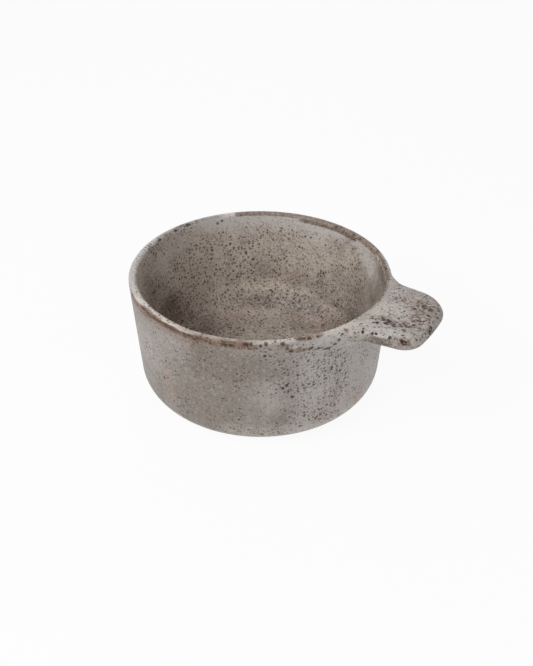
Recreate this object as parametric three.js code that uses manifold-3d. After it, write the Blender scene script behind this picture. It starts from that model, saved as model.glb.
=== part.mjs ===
// Single-serving stoneware ramekin with a tab handle, in millimetres, +Z up.
// The foot stands on z = 0 and the tab points along +X. The origin lies under the middle of the
// whole length, so the bowl's axis is half of the tab's reach towards -X.
import * as THREE from "three";
import { mergeVertices } from "three/addons/utils/BufferGeometryUtils.js";
import Module from "manifold-3d";

// Outside of the bowl
const rimRadius = 52.5; // where the wall's slope reaches the rim's top
const bowlHeight = 52.8; // standing plane to the rim's crest
const wallFootRadius = 49.1; // where the wall's slope reaches the heel's underside
const heelRadius = 12; // round between the wall and the underside

// Thickness of the clay
const rimThickness = 3.2;
const lowerWallThickness = 4.4; // at the level of the floor
const floorThickness = 4.6;
const cavityFilletRadius = 11; // round between the inner wall and the floor
const rimRoundShare = 0.47; // of the rim's thickness, for each edge of the rim

// Turned foot ring
const footStand = 0.8; // how far the ring stands below the heel
const footInset = 1.1; // step from the heel's round in to the ring
const footWidth = 4.4;
const footEdgeRadius = 0.35;
const recessDepth = 1.6; // hollow inside the ring
const recessFilletRadius = 1.2;

// Tab handle
const tabReach = 22.8; // from the rim's outside to the tip
const tabRootWidth = 40; // between the sides, at the rim
const tabTipWidth = 34.5; // between the sides, at the tip
const tabThickness = 5.5;
const tabTipBow = 1.4; // how far the middle of the tip stands out
const tabTipBowRadius = 60;
const tabCornerRadius = 11.5;
const tabRootFilletRadius = 8.5; // seen from above, between the side and the rim
const tabUnderFilletRadius = 6.5; // below, between the underside and the wall
const tabBlendReach = 4; // how far out the rim's section turns into the slab's
const tabDishDepth = 0.6; // shallow hollow for the thumb

// Joint between the pieces
const slipSeam = 0.3; // gap that the joining slip fills
const cutOverrun = 6;

// Fineness of the facets
const chordError = 0.05; // between a facet and the arc that it stands for
const turnSteps = 72; // facets round the bowl
const tabColumns = 44; // sections from one crotch of the tab to the other
const tabTopSteps = 6;
const tabNoseSteps = 4;
const tabUnderSteps = 3;

// Sizes worked out from those above
const rimEdgeRadius = rimThickness * rimRoundShare;
const footRadius = wallFootRadius - heelRadius - footInset;
const floorLevel = recessDepth + floorThickness;
const tabUnderLevel = bowlHeight - tabThickness;
const tabLowLevel = tabUnderLevel - tabUnderFilletRadius;
const rimWidest = wallRadiusAt(bowlHeight - rimEdgeRadius);
const tabRootBearing = Math.asin(tabRootWidth / 2 / rimWidest);
const tabEndBearing = tabRootBearing + tabRootFilletRadius / rimWidest;

const wasm = await Module();
wasm.setup();

// A path through the corners. Each inner corner is rounded by an arc of its own radius.
function roundedPath(corners) {
  const points = corners.map(([x, y]) => new THREE.Vector2(x, y));
  const path = new THREE.Path();
  path.moveTo(points[0].x, points[0].y);
  for (let i = 1; i < points.length - 1; i += 1) {
    const radius = corners[i][2];
    const back = points[i - 1].clone().sub(points[i]).normalize();
    const ahead = points[i + 1].clone().sub(points[i]).normalize();
    const halfAngle = Math.acos(back.dot(ahead)) / 2;
    const centre = back.clone().add(ahead).setLength(radius / Math.sin(halfAngle)).add(points[i]);
    const start = back.clone().multiplyScalar(radius / Math.tan(halfAngle)).add(points[i]);
    const end = ahead.clone().multiplyScalar(radius / Math.tan(halfAngle)).add(points[i]);
    const startAngle = start.clone().sub(centre).angle();
    const endAngle = end.clone().sub(centre).angle();
    path.lineTo(start.x, start.y);
    path.absarc(centre.x, centre.y, radius, startAngle, endAngle, back.cross(ahead) > 0);
  }
  path.lineTo(points.at(-1).x, points.at(-1).y);
  return path;
}

// The points of a path: the ends of each straight, and arcs divided to within the chord error.
function pathPoints(path) {
  const points = [];
  for (const curve of path.curves) {
    let steps = 1;
    if (curve.isEllipseCurve) {
      const stepAngle = 2 * Math.acos(1 - Math.min(chordError / curve.xRadius, 1));
      steps = Math.ceil(curve.getLength() / curve.xRadius / stepAngle);
    }
    points.push(...curve.getPoints(steps).slice(0, -1));
  }
  points.push(path.curves.at(-1).getPoint(1));
  return points;
}

// A solid of revolution about +Z, from corners of radius, height and rounding.
function turned(corners) {
  const lathe = new THREE.LatheGeometry(pathPoints(roundedPath(corners)), turnSteps);
  lathe.rotateX(Math.PI / 2);
  return lathe;
}

// Outer radius of the sloping wall at a level
function wallRadiusAt(level) {
  const share = (level - footStand) / (bowlHeight - footStand);
  return THREE.MathUtils.lerp(wallFootRadius, rimRadius, share);
}

// The bowl, from the middle of its underside round the foot, wall and rim to the middle of its floor
function cupBody() {
  return turned([
    [0, recessDepth],
    [footRadius - footWidth, recessDepth, recessFilletRadius],
    [footRadius - footWidth, 0, footEdgeRadius],
    [footRadius, 0, footEdgeRadius],
    [footRadius, footStand, footEdgeRadius],
    [wallFootRadius, footStand, heelRadius],
    [rimRadius, bowlHeight, rimEdgeRadius],
    [rimRadius - rimThickness, bowlHeight, rimEdgeRadius],
    [wallFootRadius - lowerWallThickness, floorLevel, cavityFilletRadius],
    [0, floorLevel],
  ]);
}

// The bowl's filled outside, larger by the slip seam, which cuts the saddle of the tab's root
function saddleCutter() {
  return turned([
    [0, tabLowLevel - cutOverrun],
    [wallRadiusAt(tabLowLevel - cutOverrun) + slipSeam, tabLowLevel - cutOverrun, 0],
    [rimRadius + slipSeam, bowlHeight + slipSeam, rimEdgeRadius + slipSeam],
    [0, bowlHeight + slipSeam],
  ]);
}

// The tab's edge seen from above, from the rim on its -Y side round the tip to the rim on its +Y side
function tabOutline() {
  const onRim = (bearing) => [rimWidest * Math.cos(bearing), rimWidest * Math.sin(bearing)];
  const tip = rimWidest + tabReach;
  return roundedPath([
    onRim(-tabEndBearing),
    [...onRim(-tabRootBearing), tabRootFilletRadius],
    [tip - tabTipBow, -tabTipWidth / 2, tabCornerRadius],
    [tip, 0, tabTipBowRadius],
    [tip - tabTipBow, tabTipWidth / 2, tabCornerRadius],
    [...onRim(tabRootBearing), tabRootFilletRadius],
    onRim(tabEndBearing),
  ]);
}

// One closed section of the tab. It runs from inside the rim over the top, round the nose of the
// edge and back along the underside to the wall. Towards the crotches it melts into the rim's own
// section.
function tabSection(outline, share) {
  const edge = outline.getPointAt(share);
  const along = outline.getTangentAt(share);
  const inward = new THREE.Vector2(-along.y, along.x);
  const outward = edge.clone().normalize();
  const slab = THREE.MathUtils.smoothstep(edge.length() - rimWidest, 0, tabBlendReach);
  const noseRadius = THREE.MathUtils.lerp(rimEdgeRadius, tabThickness / 2, slab);
  const root = outward.clone().multiplyScalar(rimWidest - cutOverrun);
  const nose = edge.clone().addScaledVector(inward, noseRadius);
  const section = [];
  const add = (plan, level) => section.push(new THREE.Vector3(plan.x, plan.y, level));

  for (let i = 0; i <= tabTopSteps; i += 1) {
    const dish = tabDishDepth * slab * Math.sin((Math.PI * i) / tabTopSteps) ** 2;
    add(root.clone().lerp(nose, i / tabTopSteps), bowlHeight - dish);
  }
  for (let i = 1; i <= tabNoseSteps; i += 1) {
    const turn = (Math.PI / 2) * (i / tabNoseSteps);
    const plan = edge.clone().addScaledVector(inward, noseRadius * (1 - Math.sin(turn)));
    add(plan, bowlHeight - noseRadius * (1 - Math.cos(turn)));
  }
  const lower = lowerSlab(edge, inward);
  lower.forEach((point, i) => {
    const fall = (i + 1) / lower.length;
    const level = THREE.MathUtils.lerp(bowlHeight - noseRadius, tabLowLevel, fall);
    const wall = outward.clone().multiplyScalar(wallRadiusAt(level));
    const plan = edge.clone().lerp(wall, THREE.MathUtils.smoothstep(fall, 0, 1));
    section.push(new THREE.Vector3(plan.x, plan.y, level).lerp(point, slab));
  });
  add(root, tabLowLevel);
  return section;
}

// How far an arc of this radius has fallen at a distance before its tangent point
function arcDrop(radius, distance) {
  const before = radius - THREE.MathUtils.clamp(distance, 0, radius);
  return radius - Math.sqrt(radius ** 2 - before ** 2);
}

// The slab from the middle of its edge to the wall, as points of one section. Its underside rises
// into the nose near the edge and falls into the fillet near the wall.
function lowerSlab(edge, inward) {
  const noseRadius = tabThickness / 2;
  const wallRadius = wallRadiusAt(tabUnderLevel);
  const reach = Math.min(noseRadius, distanceToCircle(edge, inward, wallRadius));
  const nose = edge.clone().addScaledVector(inward, reach);
  const clear = Math.max(nose.length() - wallRadius, 0);
  const filletReach = Math.min(tabUnderFilletRadius, clear / 2);
  const filletStart = Math.asin(1 - filletReach / tabUnderFilletRadius);
  const points = [];

  function add(plan, inset) {
    const clearance = plan.length() - wallRadius;
    const drop = arcDrop(tabUnderFilletRadius, clearance);
    const level = tabUnderLevel + arcDrop(noseRadius, inset) - drop;
    const lean = (wallRadiusAt(level) - wallRadius) * (drop / tabUnderFilletRadius);
    const leaning = plan.clone().setLength(plan.length() + lean);
    points.push(new THREE.Vector3(leaning.x, leaning.y, level));
  }

  for (let i = 1; i <= tabNoseSteps; i += 1) {
    const inset = reach * (1 - Math.cos((Math.PI / 2) * (i / tabNoseSteps)));
    add(edge.clone().addScaledVector(inward, inset), inset);
  }
  for (let i = 1; i <= tabUnderSteps; i += 1) {
    const clearance = THREE.MathUtils.lerp(clear, filletReach, i / tabUnderSteps);
    add(nose.clone().setLength(wallRadius + clearance), reach);
  }
  for (let i = 1; i <= tabNoseSteps; i += 1) {
    const turn = THREE.MathUtils.lerp(filletStart, Math.PI / 2, i / tabNoseSteps);
    const clearance = tabUnderFilletRadius * (1 - Math.sin(turn));
    add(nose.clone().setLength(wallRadius + clearance), reach);
  }
  return points;
}

// How far it is from a point outside a circle about the origin, in a direction, to the circle
function distanceToCircle(point, direction, radius) {
  const along = -point.dot(direction);
  const square = along ** 2 - point.lengthSq() + radius ** 2;
  return square > 0 ? along - Math.sqrt(square) : Infinity;
}

// A closed surface through sections with equal numbers of points, with a fan over each end
function loft(sections) {
  const size = sections[0].length;
  const last = (sections.length - 1) * size;
  const faces = [];
  for (let base = 0; base < last; base += size) {
    for (let i = 0; i < size; i += 1) {
      const next = (i + 1) % size;
      faces.push(base + i, base + next, base + size + i);
      faces.push(base + next, base + size + next, base + size + i);
    }
  }
  for (let i = 1; i < size - 1; i += 1) {
    faces.push(0, i + 1, i);
    faces.push(last, last + i, last + i + 1);
  }
  const geometry = new THREE.BufferGeometry().setFromPoints(sections.flat());
  geometry.setIndex(faces);
  return geometry;
}

// A closed geometry as a solid that can be cut
function solidOf(geometry) {
  geometry.deleteAttribute("normal");
  geometry.deleteAttribute("uv");
  const merged = mergeVertices(geometry);
  return new wasm.Manifold(
    new wasm.Mesh({
      numProp: 3,
      vertProperties: merged.attributes.position.array,
      triVerts: new Uint32Array(merged.index.array),
    }),
  );
}

// A cut solid as a geometry
function geometryOf(solid) {
  const { vertProperties, triVerts } = solid.getMesh();
  const geometry = new THREE.BufferGeometry();
  geometry.setAttribute("position", new THREE.BufferAttribute(vertProperties, 3));
  geometry.setIndex(new THREE.BufferAttribute(triVerts, 1));
  geometry.computeVertexNormals();
  return geometry;
}

// The tab, lofted from crotch to crotch and cut to sit on the bowl
function tabHandle() {
  const outline = tabOutline();
  const sections = [];
  for (let i = 0; i <= tabColumns; i += 1) {
    sections.push(tabSection(outline, i / tabColumns));
  }
  return geometryOf(solidOf(loft(sections)).subtract(solidOf(saddleCutter())));
}

function piece(name, geometry, material) {
  const mesh = new THREE.Mesh(geometry, new THREE.MeshStandardMaterial(material));
  mesh.name = name;
  return mesh;
}

const bowlAxis = new THREE.Group();
bowlAxis.position.x = -tabReach / 2;
bowlAxis.add(piece("cup_body", cupBody(), { color: 0x9a9088, roughness: 0.42, metalness: 0 }));
bowlAxis.add(piece("tab_handle", tabHandle(), { color: 0xa59b92, roughness: 0.42, metalness: 0 }));

const ramekin = new THREE.Group();
ramekin.add(bowlAxis);

export default ramekin;
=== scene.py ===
import math

import bpy
import numpy as np
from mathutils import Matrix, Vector


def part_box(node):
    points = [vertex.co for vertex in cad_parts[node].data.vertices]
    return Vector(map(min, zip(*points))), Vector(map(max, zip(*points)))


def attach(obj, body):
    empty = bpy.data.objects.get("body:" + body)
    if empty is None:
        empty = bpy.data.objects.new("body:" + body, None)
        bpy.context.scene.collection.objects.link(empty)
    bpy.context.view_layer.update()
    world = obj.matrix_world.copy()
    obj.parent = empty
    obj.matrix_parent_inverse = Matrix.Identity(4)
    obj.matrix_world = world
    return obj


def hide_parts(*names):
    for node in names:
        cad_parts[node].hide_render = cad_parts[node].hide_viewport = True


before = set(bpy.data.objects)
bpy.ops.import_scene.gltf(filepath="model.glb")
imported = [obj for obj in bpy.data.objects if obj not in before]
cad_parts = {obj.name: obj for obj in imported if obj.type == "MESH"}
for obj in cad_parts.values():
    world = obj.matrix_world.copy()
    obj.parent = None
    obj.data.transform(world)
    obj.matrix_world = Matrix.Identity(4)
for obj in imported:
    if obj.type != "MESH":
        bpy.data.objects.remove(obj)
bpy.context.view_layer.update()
cup_low, cup_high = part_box("cup_body")
tab_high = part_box("tab_handle")[1]

# Everything below is in metres. Radii and bearings are about the bowl's axis.
MM = 0.001

# Bowl
AXIS = Vector(((cup_low.x + cup_high.x) / 2, (cup_low.y + cup_high.y) / 2, 0))
HEIGHT = cup_high.z
RIM_RADIUS = 52.5 * MM  # where the wall's slope reaches the rim's top
FOOT_WALL_RADIUS = 49.1 * MM  # where it reaches the heel's underside
HEEL_RADIUS = 12 * MM
RIM_THICKNESS = 3.2 * MM
RIM_EDGE = 0.47 * RIM_THICKNESS
LOWER_WALL = 4.4 * MM
FLOOR_LEVEL = 6.2 * MM
CAVITY_FILLET = 11 * MM
FOOT_STAND = 0.8 * MM
FOOT_RADIUS = 36 * MM
FOOT_WIDTH = 4.4 * MM
FOOT_EDGE = 0.35 * MM
RECESS_DEPTH = 1.6 * MM
RECESS_FILLET = 1.2 * MM

# Tab
TAB_TIP = tab_high.x - AXIS.x
TAB_ROOT_HALF = 20 * MM  # half of its width at the rim
TAB_TIP_HALF = 17.25 * MM
TAB_THICKNESS = 5.5 * MM
TAB_TIP_BOW = 1.4 * MM
TAB_NEAR_CORNER = 6.5 * MM
TAB_FAR_CORNER = 11 * MM
TAB_NEAR_FILLET = 8 * MM  # between its near side and the rim, seen from above
TAB_FAR_FILLET = 5 * MM
TAB_UNDER_FILLET = 6.5 * MM  # between its underside and the wall
TAB_EDGE_REACH = 4 * MM  # how far out the rim's edge turns into the tab's rounder one
TAB_DISH = 0.6 * MM
TAB_BORDER = 1.1 * TAB_NEAR_FILLET  # how far along the rim its skin reaches beyond its root

# Joint of the two pieces
SEAT_DEPTH = 0.5 * MM  # scored hollow in the bowl under the tab's root
ROOT_DEPTH = 0.2 * MM  # how far the root reaches into it
JOINT_SLOPE = 0.3  # how soon both reach their depth from their border, as a share

# Fineness of the meshes
LINE_STEP = 1 * MM
ARC_STEP = math.radians(11)
TAB_COLUMNS = 120
REST_COLUMNS = 300
TAB_ROWS = 70
SKIN_ROUNDS = 60  # of evening out the tab's grid on its surface
LAST_ROUNDS = 6  # of moving it onto the surface
SLOPE_REACH = 0.01 * MM  # over which the surface's slope is measured, each way
LEAST_STEEPNESS = 0.2  # keeps a step short where the slope is nearly flat

# Marks of the hand
OUT_OF_ROUND = 0.06 * MM  # half of each wave's height
ROUND_WAVES = [(2, -0.6), (3, 1.1)]  # how many go round, and how far they are turned
RIM_DIP = 0.07 * MM
DIP_WAVES = [(1, 2.2), (2, 0.5)]
UNEVEN_FROM = 0.25  # share of the height from which the wall is uneven
THIN_FROM, THIN_FULL = 0.7, 0.95  # where the thinner inner side begins and is reached
# Where it is thinner: bearing, half width of the sector and depth
RIM_THINNINGS = [(-72, 32, 1.0 * MM), (-27, 22, 0.8 * MM), (8, 26, 0.9 * MM)]

# Sizes worked out from those above
UNDER_LEVEL = HEIGHT - TAB_THICKNESS
LOW_LEVEL = UNDER_LEVEL - TAB_UNDER_FILLET
CREST_RADIUS = RIM_RADIUS - RIM_THICKNESS / 2
RIM_WIDEST = (cup_high.y - cup_low.y) / 2
ROOT_BEARING = math.asin(TAB_ROOT_HALF / RIM_WIDEST)
END_BEARING = math.asin((TAB_ROOT_HALF + TAB_BORDER) / RIM_WIDEST)
WALL_SLOPE = (RIM_RADIUS - FOOT_WALL_RADIUS) / (HEIGHT - FOOT_STAND)


def srgb(red, green, blue):
    """A colour as it is written in sRGB, for a shader"""
    shares = [value / 255 for value in (red, green, blue)]
    return *(s / 12.92 if s < 0.04045 else ((s + 0.055) / 1.055) ** 2.4 for s in shares), 1.0


# Colours of the glaze, its iron and the bare clay
GREY = srgb(160, 151, 144)
OLIVE = srgb(129, 119, 110)
COOL = srgb(197, 191, 187)
MIST = srgb(210, 205, 202)
MILK = srgb(226, 214, 200)
TAUPE = srgb(208, 196, 185)
SHADE = srgb(194, 181, 170)
PINK = srgb(172, 146, 136)
CREAM = srgb(205, 197, 188)
RUST = srgb(120, 90, 72)
UMBER = srgb(84, 68, 56)
IRON = srgb(60, 47, 38)
CLAY = srgb(188, 166, 142)

# In the glaze, except the painted shade and highlight named below
# Marks on the wall and the floor: bearing, level, half width and half height in mm
OLIVE_CLOUDS = [(-74, 38, 17, 6), (-63, 42, 10, 6), (-85, 18, 16, 18), (-56, 38, 7, 3.5)]
COOL_CLOUDS = [(-50, 28, 9, 11), (-120, 33, 12, 11)]
WARM_RUNS = [(-24, 28, 1.8, 20), (-31, 12, 5, 8), (-102, 24, 4, 10), (-8, 14, 6, 6)]
PALE_RUNS = [(-19.5, 28, 2, 18), (-13, 38, 2, 8), (-32.5, 37, 3.5, 5), (-34, 15, 6, 4)]
CROWDS = [(-38, 36, 16, 14), (-32, 18, 14, 12), (-62, 8, 16, 5), (-24, 30, 8, 18)]
# Painted shade, darkening the inner wall and floor where shade falls in the bowl
PAINTED_SHADE = [
    (50, 25, 17, 16), (38, 32, 14, 16), (76, 9, 20, 4), (196, 33, 12, 12), (182, 22, 10, 6),
    (56, 14, 11, 7), (67, 8, 10, 5),
]
# Fainter painted shade low on the back of the inner wall
FAINT_PAINTED_SHADE = [(78, 20, 18, 9), (97, 20, 10, 10), (90, 14, 9, 6), (72, 29, 8, 6), (120, 26, 8, 6)]
# Painted shade in the hollow under the right of the rim, inside
NOOK_SHADE = [(28, 45, 10, 9), (14, 47, 10, 6), (39, 37, 6, 8)]
BLUSH = [(157, 12, 6, 3.5), (172, 13, 9, 6), (105, 24, 9, 3), (60, 7, 14, 4)]
# Deepest painted shade, low on the left of the inside and along the foot of the back wall
DEEP_PAINTED_SHADE = [(186, 14, 14, 12), (171, 9, 10, 5), (120, 10, 14, 3), (95, 10, 12, 3)]
POOLS = [(61, 49.5, 6.5, 3.5), (54, 47, 5.5, 5.5), (48, 44.5, 5, 6)]
THIN_POOLS = [(90, 45, 10, 5), (128, 46, 8, 5), (170, 46, 12, 5), (186, 40, 8, 8), (41, 40, 4, 7)]
POOL_EDGES = [(71, 48, 2.6, 4), (73.5, 43.5, 3.2, 4)]
CALM = [(36, 30, 16, 20)]
# Ends of the pale arc on the fillet: painted highlight, partly paler glaze
FILLET_HIGHLIGHT_ENDS = [(78, 12.5, 4, 1.8), (146, 14.2, 9, 2.4)]

# Small marks on the rim, the wall and the floor: the same, and how far inside the wall's middle
# Painted shade on the floor, against the back wall and where the front rim shades it
FLOOR_PAINTED_SHADE = [(88, 6, 12, 4, 10), (101, 8, 8, 3, 7), (-58, 6, 18, 4, 46)]
# Deeper painted shade on the floor, in its corners and where the front rim shades it
FLOOR_DEEP_SHADE = [(166, 7, 9, 4, 10), (66, 8, 8, 5, 7), (58, 15, 10, 8, 3.5), (-120, 6, 12, 4, 42)]
RIM_DOTS = [
    (-71.4, 50.9, 1.9, 0.6, -1.3), (-64.5, 51.7, 1.3, 0.7, -1.1), (-58.7, 51.4, 0.7, 0.8, -1.4),
    (-56.6, 52, 0.8, 1.0, -1.1), (-53, 52.5, 0.6, 0.5, -0.6), (-50.2, 51.8, 1.0, 0.7, -1.3),
    (-48.4, 49.6, 0.8, 0.6, -1.5), (-46.7, 48.2, 1.0, 0.6, -1.5), (-43, 52.5, 1.9, 0.4, -0.6),
    (-41.2, 52.5, 0.7, 0.4, -0.6), (-39.2, 52.3, 0.9, 0.7, -0.9), (-35.6, 52.3, 0.6, 0.4, -1),
    (-38.3, 48.3, 1.0, 0.7, -1.5), (-35, 47.1, 2.4, 0.4, -1.5), (-31.2, 46.1, 2.2, 0.5, -1.5),
    (-30.5, 45.8, 0.9, 0.8, -1.5), (-27.8, 47.1, 0.9, 0.8, -1.8), (-26.5, 48.8, 0.8, 0.8, -2.3),
    (-178.9, 52.1, 1.4, 0.7, 1.5), (168.9, 52.2, 1.1, 0.6, 1.4), (161, 52.3, 1.6, 0.6, 1.2),
    (144, 49.6, 0.8, 0.8, 1.7), (141.6, 50.4, 0.7, 0.7, 1.7), (-146, 51.6, 0.8, 0.8, -1.2),
    (-62.4, 51.9, 0.7, 0.8, -1.1), (79, 52, 1.2, 0.6, 1.3),
]
RIM_RUST = [
    (-43.6, 48.9, 1.6, 0.9, -1.5), (-49, 50.8, 1.8, 0.9, -1.5), (-46.5, 48.6, 2.0, 1.4, -1.5),
    (-41.5, 48, 2.6, 1.0, -1.5), (-40, 52.5, 4.2, 1.0, -0.7), (-35, 52.5, 2.0, 0.9, -0.9),
    (-66, 51.9, 3.0, 1.2, -1.1),
]
RIM_MILK = [(-45.2, 49.9, 1.3, 1.0, -1.5), (-33, 50.2, 4, 1.6, -1.7), (-26.5, 51, 2.5, 1.4, -2.2)]
IRON_SPOTS = [
    (-49.5, 31.2, 0.8, 0.8, -1.6), (-47.9, 32.4, 0.8, 0.9, -1.6), (-57, 46.8, 0.8, 0.7, -1.6),
    (-28, 36, 0.7, 0.9, -1.6), (-23.4, 32.9, 0.8, 0.7, -1.6), (-45.3, 26.4, 0.9, 0.8, -1.6),
]

# Bands round the dish: first bearing, last bearing and the softness of both, then the same of the
# way from the rim's crest in mm, or of the level for the painted highlight on the fillet
RIM_LINE = [
    (-128, -114, 4, 3.3, 5.4, 0.6), (-117, -97, 4, 2.5, 4.4, 0.4), (-115, -105, 3, 1.7, 4.0, 0.5),
    (-98, -62, 4, 3.2, 5.0, 0.4), (-84, -67, 5, 2.2, 4.8, 0.6),
]
RIM_STAIN = [(-126, -86, 8, 3.5, 6.5, 1.5)]
RIM_CORE = [
    (-116, -97, 4, 2.5, 3.6, 0.35), (-98, -84, 4, 3.1, 4.1, 0.35), (-73.5, -70, 1.5, 2.6, 4.4, 0.5),
]
RIM_BACK = [
    (96, 133, 2, -3.0, 3.5, 0.8), (89, 98, 4, -2.0, 5.2, 0.8), (66, 90, 3, 1.3, 5.2, 0.6),
    (48, 68, 4, 0.6, 3.8, 0.6), (26, 52, 4, 1.3, 2.8, 0.5), (-4, 28, 4, 0.7, 2.6, 0.5),
]
RIM_SMEAR = [(144, 177, 5, 1.3, 3.2, 0.6)]
# Painted shade on the outer round of the rim at the right
RIM_OUTER_SHADE = [(-16, 26, 5, 0.3, 2.6, 0.8)]
RIM_WORN = [(-2, 40, 3, 1.4, 2.4, 0.4)]
LIP_SHADE = [(-14, 34, 10, 1.0, 7.0, 1.6)]
# Pale arc where the floor's fillet turns up to the light: painted highlight, partly paler glaze
FILLET_HIGHLIGHT = [(94, 149, 7, 15.5, 18.0, 1.5)]
EDGE_WANDER = 1.6  # how far the mottle moves the bands about

# Softness of the marks' borders, as a share of their half size
VERY_SOFT = 0.8
BLOT_SOFT = 0.6
DOT_SOFT = 0.5
TAB_DOT_SOFT = 0.3

# Sectors: first bearing, last bearing and the softness of both
# The right of the outer wall, painted lighter in the cool glaze tone as if lit from the right
PAINTED_LIGHT_SIDE = (-36, 2, 16)
PALE_HEEL = (-70, -20, 14)
POOLED_LIP = (76, 150, 12)
CREAM_CREST = (-100, 4, 30)
MILK_CREST = (-122, -92, 8)
RUST_CREST = (-90, -64, 8)
DIM_BACK = (72, 133, 8)

# Levels in mm: where a mask begins and where it is full
HEEL_LEVELS = (15.0, 7.0)
FLOOR_LEVELS = (20.0, 7.0)
LIP_LEVELS = (46.5, 53.0)
LIP_WANDER = 7.0  # how far the mottle moves the lip's pool about
BACK_LIMIT = (4.5, 2.5)  # the way round the outer edge instead
BARE_FOOT = (0.5, 0.3)
TAB_TOP = (49.0, 51.5)
# Levels of the painted shade under the tab's edges and on its near side
TAB_LOWER_EDGE = (51.2, 49.8)
TAB_UPPER_EDGE = (51.9, 51.2)
TAB_NEAR_SIDE = (-14.5, -17.0)  # across the tab
TAB_NEAR_SPAN = (57.0, 66.0, 4.0)  # along the tab, from here to there, and its softness

# Parts of the dish: where each begins and where it is full, in mm
INSIDE_WAY = (0.4, -0.4)  # from the middle of the wall
INSIDE_LEVELS = (3.0, 5.0)
WALL_WAY = (-16.0, -8.0)  # outwards from the rim's crest
TAB_WAY = (2.2, 4.0)  # the same
CREST_DEPTH = (1.6, 0.3)  # below the crest
INWARD_LIMIT = -4.0  # from the crest, beyond which the way round the outer edge stays as it is

# Marks on the tab: place, half length and half width in mm
TAB_MARK_DEPTH = 2  # added to the half width, for how far they reach down
TAB_CREAM = [(50.5, -19, 52, 5, 4), (54, -3, 52, 4, 7), (59, 0, 52, 6, 4)]
# Painted highlight along the near edge of the tab's top, where the edge rounds over
TAB_EDGE_HIGHLIGHT = [(60, -14.6, 52.5, 13, 1.7), (56, -15, 52.5, 6, 2)]
# Painted shade over the far part of the tab's top
TAB_FAR_SHADE = [(68, 7, 52, 7, 7)]
TAB_CORE = [
    (60, -8.5, 52, 6, 2.4), (66.5, -8, 52, 6.5, 2), (74.6, -5, 51.4, 1.6, 3.5),
    (67, 6.5, 52, 5, 4), (69.5, -1, 52, 3.5, 4),
]
TAB_BAND = [(70, -3, 52, 7, 7), (66, 8, 52, 10, 6), (58, -8.5, 52, 6, 2.4)]
TAB_RUST = [(68.4, -17, 51.4, 1.7, 1.2), (70.4, -16, 51.4, 1.7, 1.2), (49, -21.6, 52.6, 1.3, 0.8)]
TAB_SHADE = [(61, -18.6, 49.6, 7, 0.9), (54, -20.5, 50, 4, 0.9)]
TAB_DOT_DEPTH = 0.6
TAB_DOTS = [
    (64.1, -17.3, 52, 0.6, 0.7), (54.3, -18.9, 52, 0.6, 0.6), (54, -17.8, 52.7, 0.4, 0.4),
    (57.7, -18, 52, 0.6, 0.5), (59, -17.7, 52.2, 0.6, 0.5), (69.1, -16.7, 51.4, 1.7, 0.8),
    (53.9, 14.6, 52.6, 0.6, 0.6), (55.4, -12.2, 52.6, 0.6, 0.8), (56.5, -11.5, 52.6, 0.7, 0.8),
    (57.5, -8.9, 52.6, 0.6, 0.7), (59.8, -8.1, 52.4, 1.0, 0.7), (59.3, -10.3, 52.5, 1.1, 0.7),
    (62.6, -10.5, 52.5, 1.1, 0.6), (66.7, -11, 52.5, 0.9, 0.6), (68, -14.5, 52.6, 0.5, 0.6),
    (74, -3.2, 51.9, 0.5, 0.7), (74.5, -5.4, 51.2, 0.5, 0.9), (66.7, 8.1, 52.4, 1.1, 0.8),
    (64.4, 4.6, 52.3, 0.8, 0.8), (70.8, 2.5, 52.4, 1.0, 0.8), (68.5, -6, 52.4, 1.0, 0.7),
    (70.4, -4.6, 52.4, 1.1, 0.7),
]

# Noises in the glaze: size in mm, detail, roughness and which part of space they are read from
CLOUDS = (26.0, 2.0, 0.5, 1)
RUNS = (5.0, 3.0, 0.5, 2)
RINGS = (3.0, 3.0, 0.5, 3)
MOTTLE = (7.0, 4.0, 0.6, 4)
PATCHES = (11.0, 2.0, 0.5, 5)
KNOTS = (1.6, 2.0, 0.5, 6)
WORMS = (2.0, 2.0, 0.5, 7)
CROWDING = (9.0, 2.0, 0.5, 8)
GRAIN = (1.3, 4.0, 0.7, 9)
CLOTS = (1.5, 2.0, 0.5, 12)
PART_OF_SPACE = (17.3, 5.9, 11.1)  # in mm from one part to the next
LEVEL = (1.0, 1.0, 0.0)  # leaves a place's height out
CLOUD_STRETCH = (1.0, 1.0, 0.6)
RUN_STRETCH = (1.0, 1.0, 0.12)
RING_STRETCH = (0.03, 0.03, 1.0)
# Ripples that move the borders of marks about: size and depth in mm, and the rest of their noise
RIPPLE_NOISE = (4.0, 0.6, 0)
WARPED = (5.0, 5.0)
RAGGED = (1.5, 1.3)
FRAYED = (1.0, 0.6)
# Specks: spacing and radius in mm, share of the cells that have one, the most that crowding
# multiplies their size by, and strength
SPECKS = [
    (0.6, 0.3, 0.8, 1.5, 0.4), (0.85, 0.4, 0.8, 1.5, 0.5), (1.3, 0.6, 0.8, 1.5, 0.78),
    (2.7, 0.8, 0.45, 1.0, 0.9),
]
LEAST_SPECK = 0.6  # radius of the smallest, as a share of the largest
SPECK_FADE = 0.05  # of the cells, over which specks set in
SPECK_BORDER = (-0.1, 0.5)  # where a speck begins and is full, as shares of its radius

# Surface of the glaze
SATIN = (0.42, 0.52)  # its roughness, from mottle to mottle
SPECK_ROUGHNESS = 0.1  # what specks add to it
CLAY_ROUGHNESS = 0.35  # what bare clay adds
SHEEN = 0.5
SPECK_SHEEN = -0.4  # what specks and crawled glaze add to the sheen
RELIEF_STRENGTH = 0.6
RELIEF_HEIGHT = 0.2 * MM

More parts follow.
